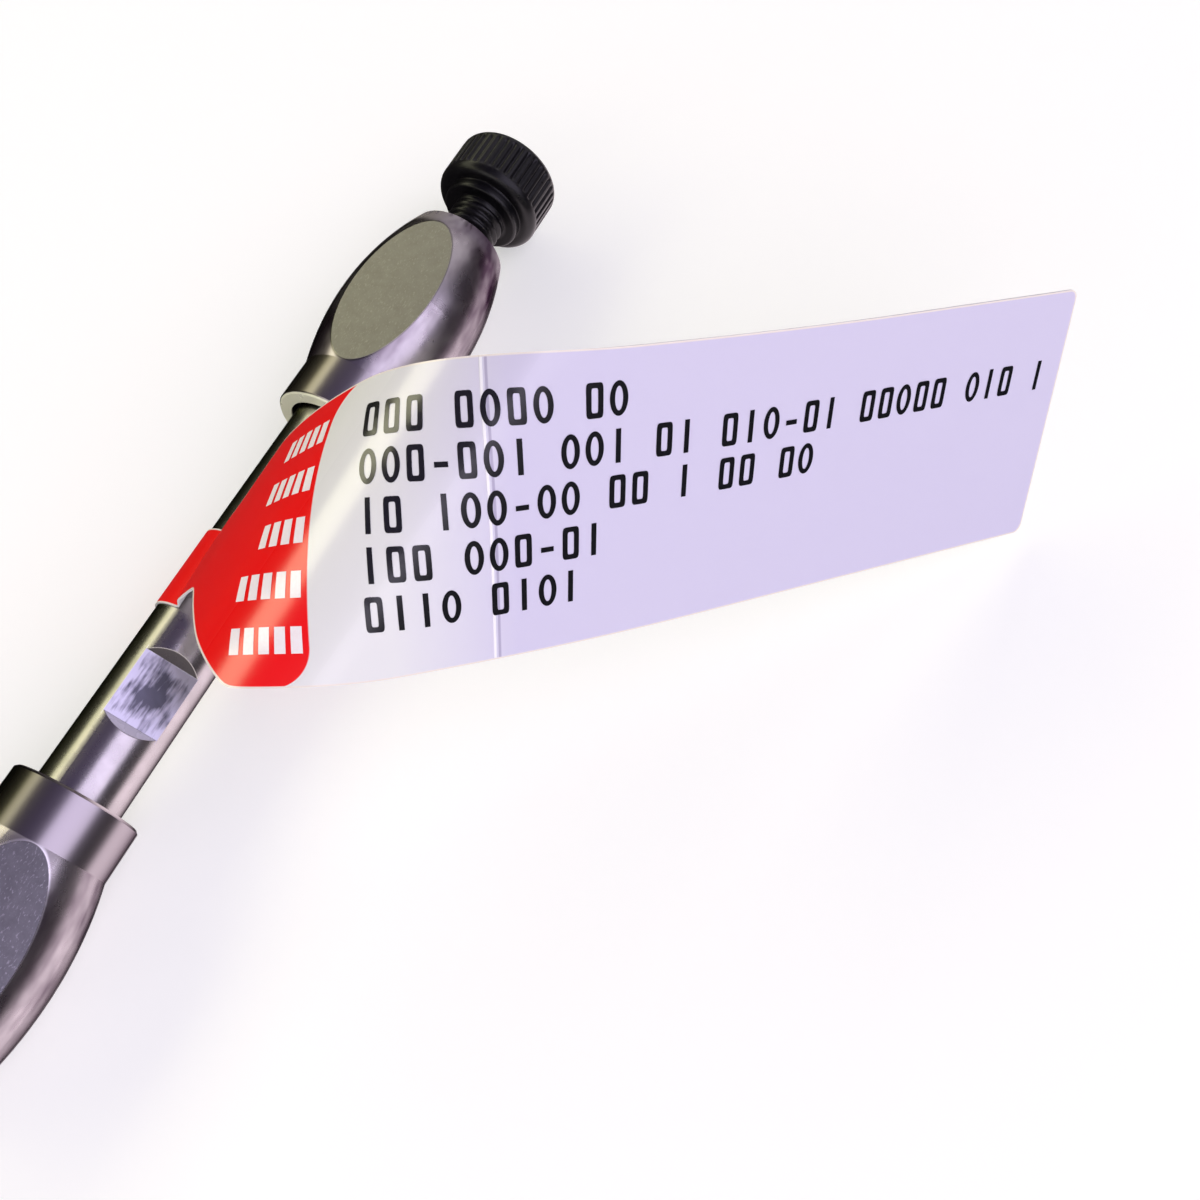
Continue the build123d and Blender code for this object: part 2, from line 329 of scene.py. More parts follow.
# the inlet's blasted flats are toned lighter and greener than the outlet's: painted light of the fill lamp
inletEnd = {"turn": 0.0, "light": "#b0b0a1", "dark": "#959384", "speck": "#b8b6a6",
            # the edge colour is a painted shade line round the flats, darker than the steel
            "roughness": 0.5, "edge": "#77736f",
            # the cream, mostly non-metal end face is a painted reflection of the lit bench
            "collar": (55.2, 59.2), "face": 55.2, "paintedFaceLight": "#f4f6dc", "faceMetal": 0.25,
            # the last colour is painted shade for the collar's far side
            "nose": (75.0, 77.0), "scratch": 0.15, "farShade": "#7c776f"}


def fittingMaterial(name, end):
    # 316 stainless, turned and satin polished: soft bands of light with fine rings across them, and
    # stains drawn out along the axis; the milled flats are blasted, an even grey oval with light
    # specks inside its edge and a painted edge line round it, and the collar is duller, with painted
    # shade on its far side and a painted reflection on its end face
    spec = fittingSteel
    material, tree, shader = startMaterial(name, {"Metallic": 1.0, "Specular Tint": linear(spec["rimTint"])})
    place = objectCoordinates(tree)
    station, aside = axisOf(tree, place, "X"), axisOf(tree, place, "Y")
    turned = mapped(tree, place, {"Rotation": (-math.radians(end["turn"]), 0, 0)})
    above = calc(tree, "ABSOLUTE", axisOf(tree, turned, "Z"))
    flatMask = between(tree, above, spec["flatHeight"] - spec["flatSlack"], spec["outside"],
                       spec["flatSoft"])
    collarMask = between(tree, station, *end["collar"])
    rim = between(tree, above, spec["flatHeight"] - spec["edgeWidth"], spec["outside"],
                  spec["edgeSoft"])
    paintedEdgeLine = calc(tree, "MULTIPLY", rim, calc(tree, "SUBTRACT", 1.0, collarMask))
    faceMask = between(tree, station, end["face"] - spec["faceDepth"], end["face"] + spec["faceDepth"],
                       spec["faceSoft"])
    noseMask = between(tree, station, *end["nose"], spec["noseSoft"])

    along = mapped(tree, place, {"Scale": (spec["stretch"], 1, 1)})
    soil = noise(tree, place, spec["soilSize"], 4.0)
    stain = ramp(tree, noise(tree, along, spec["stainSize"], 3.0, 0.55), *spec["stainRange"])
    farSide = ramp(tree, aside, *(limit * mm for limit in spec["farShadeRange"]))
    steel = mixColour(tree, soil, spec["bright"], spec["dull"])
    steel = mixColour(tree, stain, steel, spec["stain"])
    # painted shade: the collar is darkened towards its far side, at +Y
    collar = mixColour(tree, farSide, spec["collarTone"], end["farShade"])
    steel = mixColour(tree, collarMask, steel, collar)
    # painted reflection: the collar's end face is drawn lighter, on the inlet cream and mostly not metal,
    # for the lit bench it faces
    steel = mixColour(tree, faceMask, steel, end["paintedFaceLight"])
    # painted edge line round each flat, outside the collar: a painted highlight on the outlet, painted shade
    # on the inlet
    steel = mixColour(tree, paintedEdgeLine, steel, end["edge"])
    specks = ramp(tree, noise(tree, along, spec["speckSize"], 3.0), *spec["speckRange"])
    # the flats' two tones; on the inlet they carry painted light, lighter and greener than the outlet's
    blasted = mixColour(tree, noise(tree, place, spec["mottle"], 6.0, 0.65), end["light"], end["dark"])
    blasted = mixColour(tree, specks, blasted, end["speck"])

    rough = ramp(tree, soil, 0.0, 1.0, *spec["roughness"])
    rough = mixNumber(tree, collarMask, rough, spec["collarRoughness"])
    rough = mixNumber(tree, noseMask, rough, spec["noseRoughness"])
    scratches = noise(tree, place, spec["scratchSize"])
    scored = bumpNormal(tree, scratches, end["scratch"], spec["scratchDepth"])
    feed(tree, shader, {"Base Color": mixColour(tree, flatMask, steel, blasted),
                        "Metallic": mixNumber(tree, faceMask, 1.0, end["faceMetal"]),
                        "Roughness": mixNumber(tree, flatMask, rough, end["roughness"]),
                        "Normal": mixNormal(tree, flatMask, turningBump(tree, place, spec), scored)})
    return material


tubeSteel = {"bright": "#c6c0c2", "dull": "#a8a3a5", "soilSize": 1.6, "roughness": (0.22, 0.32),
             "rimTint": "#141418", "ridge": 0.08, "ridgeAcross": 60, "ridgeStrength": 0.5,
             "ridgeDepth": 0.004, "radius": 3.175, "farShade": "#80826f", "farShadeRange": (-0.4, 1.6),
             "flatTurn": 33, "flatHeight": 2.4, "flatFrom": 27.3, "flatTo": 32.4, "flatSlack": 0.02,
             # the flats' light and dark tones are a painted reflection: pale rims and a dark streaky oval
             "flatSoft": 0.01, "flatMargin": 0.3, "flatRoughness": 0.28, "flatLight": "#b3b0c0",
             "flatDark": "#565561", "wave": 1.3, "waveHeight": 0.03, "waveShare": 2.6, "streak": 1.5,
             "streakTurn": 0.7, "streakSquash": 7, "streakShare": 2.4, "shadeOvalLength": 2.0,
             # the two end-wall colours are painted light and painted shade
             "shadeOvalWidth": 1.45, "shadeOvalRange": (3.0, 4.0), "paintedBrightWall": "#d9d4e6", "lowWallMetal": 0.15,
             "paintedDarkWall": "#4c484b", "wallReach": 1.2, "wallSoft": 0.03, "sunkDepth": 0.04,
             "sunkSoft": 0.02}


def tubeMaterial():
    # 316 stainless tube, fine turned: sharper bands of light than the fittings, with close rings, and
    # painted shade on its far side; its wrench flats are scuffed and carry a painted reflection, pale
    # at the rims and painted dark and streaky in an oval in the middle, with one end wall painted
    # bright and one painted dark
    spec = tubeSteel
    material, tree, shader = startMaterial("fine_turned_stainless_tube", {
        "Metallic": 1.0, "Specular Tint": linear(spec["rimTint"])})
    place = objectCoordinates(tree)
    station, aside = axisOf(tree, place, "X"), axisOf(tree, place, "Y")
    turned = mapped(tree, place, {"Rotation": (-math.radians(spec["flatTurn"]), 0, 0)})
    above = calc(tree, "ABSOLUTE", axisOf(tree, turned, "Z"))
    onHeight = between(tree, above, spec["flatHeight"] - spec["flatSlack"],
                       spec["flatHeight"] + spec["flatSlack"], spec["flatSoft"])
    onLength = between(tree, station, spec["flatFrom"] - spec["flatMargin"],
                       spec["flatTo"] + spec["flatMargin"])
    flatMask = calc(tree, "MULTIPLY", onHeight, onLength)

    # painted dark where the distance from the flat's middle, counted in ovals and made uneven, is
    # small: a painted reflection
    waves = noise(tree, place, spec["wave"], 2.0, 0.45)
    slanted = mapped(tree, turned, {"Rotation": (0, 0, spec["streakTurn"]),
                                    "Scale": (1, spec["streakSquash"], 1)})
    streaks = noise(tree, slanted, spec["streak"], 3.0)
    middle = (spec["flatFrom"] + spec["flatTo"]) / 2
    oval = mapped(tree, turned, {
        "Location": (-middle / spec["shadeOvalLength"], 0, 0),
        "Scale": (1 / (spec["shadeOvalLength"] * mm), 1 / (spec["shadeOvalWidth"] * mm), 0)})
    uneven = calc(tree, "MULTIPLY_ADD", waves, spec["waveShare"], lengthOf(tree, oval))
    uneven = calc(tree, "MULTIPLY_ADD", streaks, spec["streakShare"], uneven)
    paintedShadeOval = ramp(tree, uneven, *spec["shadeOvalRange"], 1.0, 0.0)
    paintedFlatTones = mixColour(tree, paintedShadeOval, spec["flatLight"], spec["flatDark"])

    # the end walls are what lies inside the tube's radius just beyond the flat; the low one is
    # painted bright and mostly not metal, the high one painted dark: painted light and shade
    radial = lengthOf(tree, mapped(tree, place, {"Scale": (0, 1, 1)}))
    sunk = between(tree, radial, 0.0, spec["radius"] - spec["sunkDepth"], spec["sunkSoft"])
    paintedBrightWall = calc(tree, "MULTIPLY", sunk, between(
        tree, station, spec["flatFrom"] - spec["wallReach"], spec["flatFrom"], spec["wallSoft"]))
    paintedDarkWall = calc(tree, "MULTIPLY", sunk, between(
        tree, station, spec["flatTo"], spec["flatTo"] + spec["wallReach"], spec["wallSoft"]))
    soil = noise(tree, place, spec["soilSize"], 4.0)
    farSide = ramp(tree, aside, *(limit * mm for limit in spec["farShadeRange"]))
    steel = mixColour(tree, soil, spec["bright"], spec["dull"])
    # painted shade: the tube is tinted darker olive towards its far side, at +Y
    steel = mixColour(tree, farSide, steel, spec["farShade"])
    steel = mixColour(tree, paintedBrightWall, steel, spec["paintedBrightWall"])
    steel = mixColour(tree, paintedDarkWall, steel, spec["paintedDarkWall"])

    rough = ramp(tree, soil, 0.0, 1.0, *spec["roughness"])
    scored = bumpNormal(tree, waves, 1.0, spec["waveHeight"])
    feed(tree, shader, {"Base Color": mixColour(tree, flatMask, steel, paintedFlatTones),
                        "Metallic": mixNumber(tree, paintedBrightWall, 1.0, spec["lowWallMetal"]),
                        "Roughness": mixNumber(tree, flatMask, rough, spec["flatRoughness"]),
                        "Normal": mixNormal(tree, flatMask, turningBump(tree, place, spec), scored)})
    return material


# --- inner pieces

def grainyMaterial(name, colours, grain, shaderSettings):
    # close grains: a noise of that size mixes two tones and lifts the surface a little
    material, tree, shader = startMaterial(name, shaderSettings)
    grains = noise(tree, objectCoordinates(tree), grain, 3.0)
    feed(tree, shader, {"Base Color": mixColour(tree, grains, *colours),
                        "Normal": bumpNormal(tree, grains, innerFinish["bump"], innerFinish["depth"])})
    return material


innerFinish = {  # two tones, the grain in millimetres and the shader's settings
    # chalky white powder
    "packed_silica": (("#f0efec", "#dddbd6"), 0.05, {"Roughness": 0.9}),
    # dull pitted grey
    "sintered_stainless": (("#8f8d8b", "#6f6d6b"), 0.04, {"Metallic": 1.0, "Roughness": 0.6}),
    # plain tan plastic
    "turned_peek": (("#c2a883", "#b39a77"), 0.3, {"Roughness": 0.45}),
    "bump": 0.5, "depth": 0.02}


# --- inlet plug: one moulded piece, a knurled head, a step and a 10-32 thread

inletPlug = {"portFace": 76.8, "lift": 4.6, "headDiameter": 9.4, "headLength": 5.0, "headRound": 0.75,
             "stepDiameter": 7.0, "stepLength": 0.9, "stepRound": 0.25, "threadDiameter": 4.8,
             "threadDepth": 0.42, "pitch": 0.794, "inPort": 5.8, "tipLength": 1.0, "tipDiameter": 3.6,
             "ribs": 40, "grooveDepth": 0.16, "grooveWave": (0.45, 0.9), "plainMargin": 0.8,
             "marginSoft": 0.35, "topMargin": 0.55, "topSoft": 0.5, "sideSoft": (0.5, 0.15),
             "samplesPerRib": 10, "ridgeSlope": 2.7, "runOut": (0.15, 0.45), "runIn": (0.4, 1.2),
             "core": 1.0, "wideStep": 0.05, "nearStep": 0.02, "tipStep": 0.03, "tipEdge": 0.1,
             "mergeWithin": 1e-6}
plugPolymer = {"light": "#0e0d11", "dark": "#050506", "roughness": (0.22, 0.42), "scuffSize": 0.5,
               "scuffBump": 0.2, "scuffDepth": 0.01}


def arcPoints(cx, cr, radius, start, end, count):
    # corner rounding in the plug's half section: circle about (cx, cr), angles in degrees from +X
    angle = np.radians(np.linspace(start, end, count))
    return np.stack([cx + radius * np.cos(angle), cr + radius * np.sin(angle)], 1)


def linePoints(x0, r0, x1, r1, count):
    share = np.linspace(0, 1, count)
    return np.stack([x0 + (x1 - x0) * share, r0 + (r1 - r0) * share], 1)


def smoothStep(value, low, high):
    share = np.clip((value - low) / (high - low), 0, 1)
    return share * share * (3 - 2 * share)


def addPlug():
    # half section (x, radius) carried round the axis; on the head the radius loses a rounded groove
    # for each rib, and on the stem it follows a helical ridge of the thread's pitch
    spec = inletPlug
    under = spec["portFace"] + spec["lift"]
    top = under + spec["headLength"]
    tip = spec["portFace"] - spec["inPort"]
    headR, stepR = spec["headDiameter"] / 2, spec["stepDiameter"] / 2
    threadR = spec["threadDiameter"] / 2
    rim, stepRim = spec["headRound"], spec["stepRound"]
    stepFace = under - spec["stepLength"]
    cone, tipR = tip + spec["tipLength"], spec["tipDiameter"] / 2
    wide, near = spec["wideStep"], spec["nearStep"]       # steps that keep neighbouring points apart
    section = np.concatenate([                            # the last number is the count of points
        linePoints(top, 0.0, top, headR - rim - wide, 8),
        arcPoints(top - rim, headR - rim, rim, 0, 90, 9),
        linePoints(top - rim - wide, headR, under + rim + wide, headR, 26),
        arcPoints(under + rim, headR - rim, rim, 90, 180, 9),
        linePoints(under, headR - rim - wide, under, stepR + near, 5),
        linePoints(under - near, stepR, stepFace + stepRim + near, stepR, 4),
        arcPoints(stepFace + stepRim, stepR - stepRim, stepRim, 90, 180, 6),
        linePoints(stepFace, stepR - stepRim - near, stepFace, threadR + near, 4),
        linePoints(stepFace - near, threadR, cone, threadR, 96),
        linePoints(cone - wide, threadR - spec["tipStep"], tip, tipR, 8),
        linePoints(tip, tipR - spec["tipEdge"], tip, 0.0, 4)])
    count = spec["ribs"] * spec["samplesPerRib"]
    x, turn = np.meshgrid(section[:, 0], np.arange(count) * 2 * np.pi / count, indexing="ij")
    radius = np.repeat(section[:, 1:2], count, axis=1)
    wave = 0.5 + 0.5 * np.cos(turn * spec["ribs"])
    groove = smoothStep(wave, *spec["grooveWave"]) * spec["grooveDepth"]
    onSide = smoothStep(radius, headR - spec["sideSoft"][0], headR - spec["sideSoft"][1])
    margin = under + spec["plainMargin"]
    inGroove = smoothStep(x, margin, margin + spec["marginSoft"])
    inGroove = inGroove * smoothStep(top - spec["topMargin"] - x, 0.0, spec["topSoft"])
    radius = radius - groove * onSide * inGroove
    phase = (x / spec["pitch"] - turn / (2 * np.pi)) % 1.0
    # over one pitch: a sharp root at either end, sloping flanks and a flat crest in the middle
    ridge = np.clip(spec["ridgeSlope"] * (0.5 - np.abs(phase - 0.5)), 0, 1)
    onThread = smoothStep(stepFace - x, *spec["runOut"]) * smoothStep(x - tip, *spec["runIn"])
    radius = radius - (1 - ridge) * spec["threadDepth"] * onThread * (radius > spec["core"])
    points = np.stack([x, -radius * np.sin(turn), radius * np.cos(turn)], -1)
    rows = len(section)
    faces = gridQuads(rows, count, wrapColumns=True)
    piece = meshPiece("knurled_inlet_plug", points.reshape(-1, 3) * mm, faces, [plugMaterial()],
                      "plug")
    closePoles(piece)
    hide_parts("inlet_plug")


def closePoles(piece):
    # the points that meet on the axis become one, and the faces are turned outwards
    made = bmesh.new()
    made.from_mesh(piece.data)
    bmesh.ops.remove_doubles(made, verts=made.verts, dist=inletPlug["mergeWithin"])
    bmesh.ops.recalc_face_normals(made, faces=made.faces)
    made.to_mesh(piece.data)
    made.free()


def plugMaterial():
    # black acetal, moulded: nearly black with a soft sheen, and fine scuffs that dull it in places
    spec = plugPolymer
    material, tree, shader = startMaterial("moulded_black_acetal", {
        "IOR": 1.48, "Specular IOR Level": 0.3})
    scuff = noise(tree, objectCoordinates(tree), spec["scuffSize"], 5.0)
    feed(tree, shader, {"Base Color": mixColour(tree, scuff, spec["dark"], spec["light"]),
                        "Roughness": ramp(tree, scuff, 0.0, 1.0, *spec["roughness"]),
                        "Normal": bumpNormal(tree, scuff, spec["scuffBump"], spec["scuffDepth"])})
    return material


# --- label: a film glued round the tube, its wide flag bent over and down to the bench

labelFilm = {"thickness": 0.15, "height": 19.3, "left": -5.8, "right": 56.2, "neck": -13.8, "root": -19.2,
             "tailLow": 8.3, "tailHigh": 15.1, "highTop": -9.2, "wrapDegrees": 318, "tubeRadius": 3.27,
             "tailStation": 36.0, "rootTurn": 12, "rootCrease": 1.6,
             "azimuth": -17.4, "elevation": 27.4, "skew": 38.6, "start": (43.7, 1.7, 1.55),
             "profileFrom": -26.0, "rise": 59.4, "arcs": ((16.0, 35.0), (14.0, 9.3), (16.0, 100.0)),
             "cornerRound": 0.7, "shoulderRound": 0.5, "step": 0.02, "creaseGrid": 2, "slantTo": 26,
             "plainFrom": 30, "counts": (60, 24, 150, 50, 8), "columns": 41, "settleSteps": 60,
             "sharpAngle": 40}


def rotated(vector, axis, degrees):
    return np.array(Matrix.Rotation(math.radians(degrees), 3, axis) @ Vector(vector))


bendLine = rotated(rotated((1, 0, 0), "Y", -labelFilm["elevation"]), "Z", labelFilm["azimuth"])
acrossBend = np.cross(bendLine, (0, 0, 1))
acrossBend = acrossBend / np.linalg.norm(acrossBend)
raised = np.cross(acrossBend, bendLine)


def bendProfile(s):
    # chain of tangent arcs, then a straight run: distance out (u) and height (v) for each s
    slope = np.full(s.shape, math.radians(labelFilm["rise"]))
    left = s - labelFilm["profileFrom"]
    u, v = np.zeros(s.shape), np.zeros(s.shape)
    for length, radius in labelFilm["arcs"]:
        part = np.minimum(left, length)
        turn = part / radius
        u = u + radius * (np.sin(slope) - np.sin(slope - turn))
        v = v + radius * (np.cos(slope - turn) - np.cos(slope))
        slope, left = slope - turn, left - part
    return u + left * np.cos(slope), v + left * np.sin(slope)


def onFlag(x, y):
    # flag in the air: skewed straight bend lines carried along the profile
    skew = math.radians(labelFilm["skew"])
    u, v = bendProfile(x * math.cos(skew) - y * math.sin(skew))
    along = x * math.sin(skew) + y * math.cos(skew)
    return (np.array(labelFilm["start"]) + acrossBend * u[..., None] + raised * v[..., None]
            + bendLine * along[..., None])


def onTube(x, y):
    # tail: a cylinder just outside the tube
    angle = math.radians(labelFilm["rootTurn"]) + (labelFilm["root"] - x) / labelFilm["tubeRadius"]
    station = labelFilm["tailStation"] + y - labelFilm["tailLow"]
    return np.stack([station, labelFilm["tubeRadius"] * np.sin(angle),
                     labelFilm["tubeRadius"] * np.cos(angle)], -1)


def onFilm(x, y):
    # the tail on the tube turns smoothly into the flag over a short crease
    share = smoothStep(x, labelFilm["root"], labelFilm["root"] + labelFilm["rootCrease"])[..., None]
    return onTube(x, y) * (1 - share) + onFlag(x, y) * share


def filmNormal(x, y):
    # outward direction of the printed side, from small steps along and across the film
    h = labelFilm["step"]
    along = onFilm(x + h, y) - onFilm(x - h, y)
    across = onFilm(x, y + h) - onFilm(x, y - h)
    normal = np.cross(along, across)
    return normal / np.linalg.norm(normal, axis=-1, keepdims=True)


def softCorner(value, radius):
    # max(value, 0) with its corner rounded
    return (value + np.sqrt(value * value + radius * radius)) / 2


def lowEdge(x):
    # low outline: the tail's edge, the sloping shoulder, then the flag's edge with a round end corner
    spec = labelFilm
    fall = (spec["left"] - x) * spec["tailLow"] / (spec["left"] - spec["neck"])
    fall = softCorner(fall, spec["shoulderRound"])
    y = spec["tailLow"] - softCorner(spec["tailLow"] - fall, spec["shoulderRound"])
    r = spec["cornerRound"]
    past = np.clip(x - (spec["right"] - r), 0, r)
    return np.maximum(y, 0) + r - np.sqrt(r * r - past * past)


def highEdge(x):
    # high outline, with a steeper and shorter shoulder
    spec = labelFilm
    gain = spec["height"] - spec["tailHigh"]
    rise = (x - spec["neck"]) * gain / (spec["highTop"] - spec["neck"])
    rise = softCorner(rise, spec["shoulderRound"])
    y = spec["height"] - softCorner(gain - rise, spec["shoulderRound"])
    r = spec["cornerRound"]
    past = np.clip(x - (spec["right"] - r), 0, r)
    return np.minimum(y, spec["height"]) - r + np.sqrt(r * r - past * past)


def filmGrid():
    # lines across the film that follow its bends: where each starts on the low edge and its slant
    spec = labelFilm
    tailEnd = spec["root"] - math.radians(spec["wrapDegrees"]) * spec["tubeRadius"]
    creaseEnd, rounding = spec["root"] + spec["creaseGrid"], spec["cornerRound"]
    limits = (tailEnd, spec["root"], creaseEnd, spec["plainFrom"], spec["right"] - rounding)
    runs = [np.linspace(low, high, count, endpoint=False)
            for low, high, count in zip(limits, limits[1:], spec["counts"])]
    corner = rounding * np.sin(np.linspace(0, np.pi / 2, spec["counts"][-1]))
    x0 = np.concatenate(runs + [spec["right"] - rounding + corner])
    skewed = math.tan(math.radians(spec["skew"]))
    slant = np.interp(x0, [spec["root"], spec["neck"], spec["slantTo"], spec["right"]],
                      [0, skewed, skewed, 0])
    y0 = lowEdge(x0)
    x1 = x0.copy()
    for _ in range(spec["settleSteps"]):          # each line ends where it meets the high edge
        x1 = x0 + slant * (highEdge(x1) - y0)
    y1 = highEdge(x1)
    share = np.linspace(0, 1, spec["columns"])
    return x0[:, None] + (x1 - x0)[:, None] * share, y0[:, None] + (y1 - y0)[:, None] * share


def keepFlat(piece, places):
    # stores each point's place on the flat film, in millimetres, for the materials
    attribute = piece.data.attributes.new("flatFilm", "FLOAT_VECTOR", "POINT")
    attribute.data.foreach_set("vector", places.astype(np.float32).ravel())


def addLabel():
    # printed side and back are the same grid moved half a thickness out and in, joined by a rim
    x, y = filmGrid()
    rows, columns = x.shape
    normal = filmNormal(x, y) * labelFilm["thickness"] / 2
    middle = onFilm(x, y)
    points = np.concatenate([(middle + normal).reshape(-1, 3), (middle - normal).reshape(-1, 3)])
    count = rows * columns
    front = gridQuads(rows, columns)
    back = gridQuads(rows, columns, start=count)[:, ::-1]
    index = np.arange(count).reshape(rows, columns)
    border = np.concatenate([index[0, :-1], index[:-1, -1], index[-1, :0:-1], index[:0:-1, 0]])
    after = np.roll(border, -1)
    rim = np.stack([border, after, after + count, border + count], 1)
    faces = np.concatenate([front, back, rim])
    kinds = np.concatenate([np.zeros(len(front)), np.ones(len(back)), np.ones(len(rim))])
    piece = meshPiece("label_film", points * mm, faces, [printedFilm(), plainFilm()], "column",
                      materialIndex=kinds)
    piece.data.set_sharp_from_angle(angle=math.radians(labelFilm["sharpAngle"]))
    span = np.abs(y[:, -1:] - y[:, :1])
    inward = np.minimum(y - y[:, :1], y[:, -1:] - y) * (span > 0)
    inward = np.minimum(inward, labelFilm["right"] - x)                # distance from the cut edge
    flat = np.stack([x, y, inward], -1).reshape(-1, 3)
    keepFlat(piece, np.concatenate([flat, flat]))
    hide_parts("label")


# the lilac white past the bend is a painted tint of the light; the near white is the film's own
filmFinish = {"white": "#d9d6e8", "nearWhite": "#eceee9", "paintedTintRange": (5.0, 13.0), "red": "#fa0300",
              "redSoft": 0.04, "tabRound": 2.5, "tabTop": 16.8, "edge": "#f3ece0",
              "edgeRange": (0.14, 0.09), "back": "#e6e6e8", "backShade": "#dededf", "backMottle": 3,
              "glossNear": 0.16, "glossFar": 0.42, "bandRise": (-10.0, -5.5), "bandFall": (-2.0, 2.0),
              # the fold's white line is a painted highlight, and the line beside it painted shade
              "creaseAt": 11.45, "creaseShift": 0.3, "creaseHighlight": "#ffffff",
              "creaseHighlightRange": (0.12, 0.07), "creaseShade": "#b9b4c9", "creaseShadeRange": (0.11, 0.06),
              "creaseBump": 0.6, "creaseDepth": 0.05}
laminate = {"IOR": 1.5, "Specular IOR Level": 0.15, "Coat Roughness": 0.19, "Coat IOR": 1.8}


def flatPlace(tree):
    # a point's place on the flat film: x, y and the distance in from the cut edge
    flat = addNode(tree, "ShaderNodeAttribute", {"attribute_name": "flatFilm"}).outputs["Vector"]
    parts = addNode(tree, "ShaderNodeSeparateXYZ", links={0: flat}).outputs
    return parts["X"], parts["Y"], parts["Z"]


def filmGloss(tree, shader, x, y):
    # the laminate is polished in a band along the outside of the bend and satin elsewhere; the place
    # across the bend is x times the cosine of its skew less y times the sine
    spec, skew = filmFinish, math.radians(labelFilm["skew"])
    across = calc(tree, "MULTIPLY_ADD", x, math.cos(skew), calc(tree, "MULTIPLY", y, -math.sin(skew)))
    rise = ramp(tree, across, *spec["bandRise"], kind="SMOOTHSTEP")
    fall = ramp(tree, across, *spec["bandFall"], 1.0, 0.0, "SMOOTHSTEP")
    polished = calc(tree, "MULTIPLY", rise, fall)
    feed(tree, shader, {"Roughness": ramp(tree, polished, 0.0, 1.0, spec["glossFar"], spec["glossNear"]),
                        "Coat Weight": polished})


def printedFilm():
    # white polypropylene under a gloss laminate: white that takes a painted lilac tint of the light
    # past the bend, one red field with round corners, a fold as a painted highlight line with a
    # painted shade line beside it, and a bare margin along the cut edge
    spec = filmFinish
    material, tree, shader = startMaterial("printed_polypropylene_film", laminate)
    x, y, inward = flatPlace(tree)
    r = spec["tabRound"]

    def bow(distance):
        # r less the root of r squared less distance squared: how far the edge has curved away
        inside = calc(tree, "MINIMUM", calc(tree, "MAXIMUM", distance, 0.0), r)
        left = calc(tree, "SUBTRACT", r * r, calc(tree, "MULTIPLY", inside, inside))
        return calc(tree, "SUBTRACT", r, calc(tree, "SQRT", left))

    border = calc(tree, "SUBTRACT", bow(calc(tree, "SUBTRACT", y, spec["tabTop"])),
                  bow(calc(tree, "SUBTRACT", r, y)))
    past = calc(tree, "SUBTRACT", x, border)
    # painted light: the white turns lilac along x, the tint of the light on the far part of the flag
    white = mixColour(tree, ramp(tree, x, *spec["paintedTintRange"]), spec["nearWhite"], spec["white"])
    colour = mixColour(tree, ramp(tree, past, spec["redSoft"], -spec["redSoft"]), white, spec["red"])
    # the fold: a painted highlight line on it and a painted shade line beside it
    fold = calc(tree, "SUBTRACT", x, spec["creaseAt"])
    highlightLine = ramp(tree, calc(tree, "ABSOLUTE", fold), *spec["creaseHighlightRange"])
    beside = calc(tree, "ABSOLUTE", calc(tree, "SUBTRACT", fold, spec["creaseShift"]))
    colour = mixColour(tree, highlightLine, colour, spec["creaseHighlight"])
    colour = mixColour(tree, ramp(tree, beside, *spec["creaseShadeRange"]), colour, spec["creaseShade"])
    colour = mixColour(tree, ramp(tree, inward, *spec["edgeRange"]), colour, spec["edge"])
    feed(tree, shader, {"Base Color": colour,
                        "Normal": bumpNormal(tree, highlightLine, spec["creaseBump"], spec["creaseDepth"])})
    filmGloss(tree, shader, x, y)
    return material


def plainFilm():
    # bare back and cut edge of the film: soft white, faintly cloudy, with no laminate
    spec = filmFinish
    material, tree, shader = startMaterial("plain_polypropylene_film", {"Roughness": 0.35, "IOR": 1.5})
    clouds = noise(tree, objectCoordinates(tree), spec["backMottle"], 3.0)
    feed(tree, shader, {"Base Color": mixColour(tree, clouds, spec["back"], spec["backShade"])})
    return material


# --- print on the label: rows of plain shapes, one for each printed place

labelPrint = {"lift": 0.02, "baseline": 3.14, "pitch": 2.99, "height": 2.2, "stroke": 0.34, "step": 1.56,
              "ringWidth": 1.2, "boxWidth": 1.1, "boxPower": 7, "dashShare": 0.7, "dashLevel": 0.42,
              "leftMargin": 3.3, "seed": 7, "ringBoxStroke": (0.28, 0.46, 0.26), "coverSize": 0.25,
              "captionLow": 2.1, "captionPitch": 3.38, "blockHeight": 1.65, "blockWidth": 0.74,
              "blockStep": 1.1, "blockRight": -0.42, "longGroup": 6}
printedGroups = ((4, 4), (3, 6), (2, 6, 2, 1, 2, 2), (7, 3, 2, 6, 5, 3, 1), (3, 4, 2))  # lowest line first
captionBlocks = (5, 5, 4, 5, 5)
blackInk, whiteInk = ("#0b0c0e", "#1a1b1e"), ("#ffffff", "#fbefec")


def ringGrid(centreX, centreY, width, height, stroke, power=2, samples=41):
    # upright rings: the outer and the inner outline of each are the two columns of its grid; the
    # outline is a superellipse, an oval at power 2 and a box with soft corners at a high one
    turn = np.linspace(0, 2 * np.pi, samples)
    across, up = (np.sign(wave) * np.abs(wave) ** (2 / power) for wave in (np.cos(turn), np.sin(turn)))
    inset = np.array([0.0, 1.0]) * stroke
    x = centreX[:, None, None] + (width / 2 - inset) * across[:, None]
    y = centreY[:, None, None] + (height / 2 - inset) * up[:, None]
    return x, y


def blockGrid(centreX, centreY, width, height, samples=9):
    # upright blocks: a plain grid over the width and height of each
    share = np.linspace(-0.5, 0.5, samples)
    x = centreX[:, None, None] + width * np.array([-0.5, 0.5]) + 0 * share[:, None]
    y = centreY[:, None, None] + height * share[:, None] + 0 * x
    return x, y


